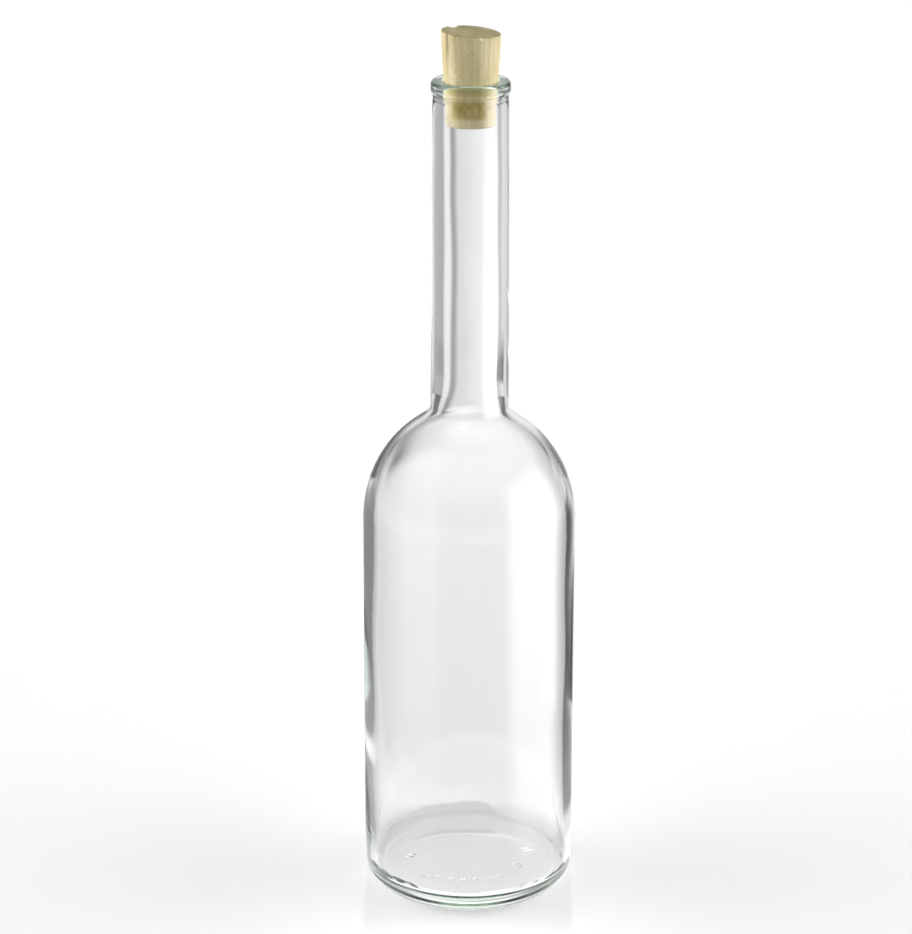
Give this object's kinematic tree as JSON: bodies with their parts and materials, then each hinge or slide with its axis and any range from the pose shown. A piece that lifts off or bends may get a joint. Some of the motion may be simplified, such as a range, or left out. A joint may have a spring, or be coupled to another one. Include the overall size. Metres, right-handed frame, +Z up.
{
  "type": "glass serving bottle",
  "caption": "Clear glass serving bottle with a long straight neck, round shoulders, a thick and nearly flat base and a tapered cork in its mouth.",
  "frame": {"origin": "centre of the ring that the bottle stands on", "axes": "+Z up along the bottle's axis, towards the cork"},
  "size_m": [0.079, 0.079, 0.3302],
  "materials": {
    "clear_glass": "smooth clear bottle glass with a faint green tint in its edges",
    "natural_cork": "bare natural cork with fine upright grain, pores and a chipped rim"
  },
  "bodies": {
    "root": {"bottle": "clear_glass", "cork": "natural_cork"}
  },
  "joints": []
}
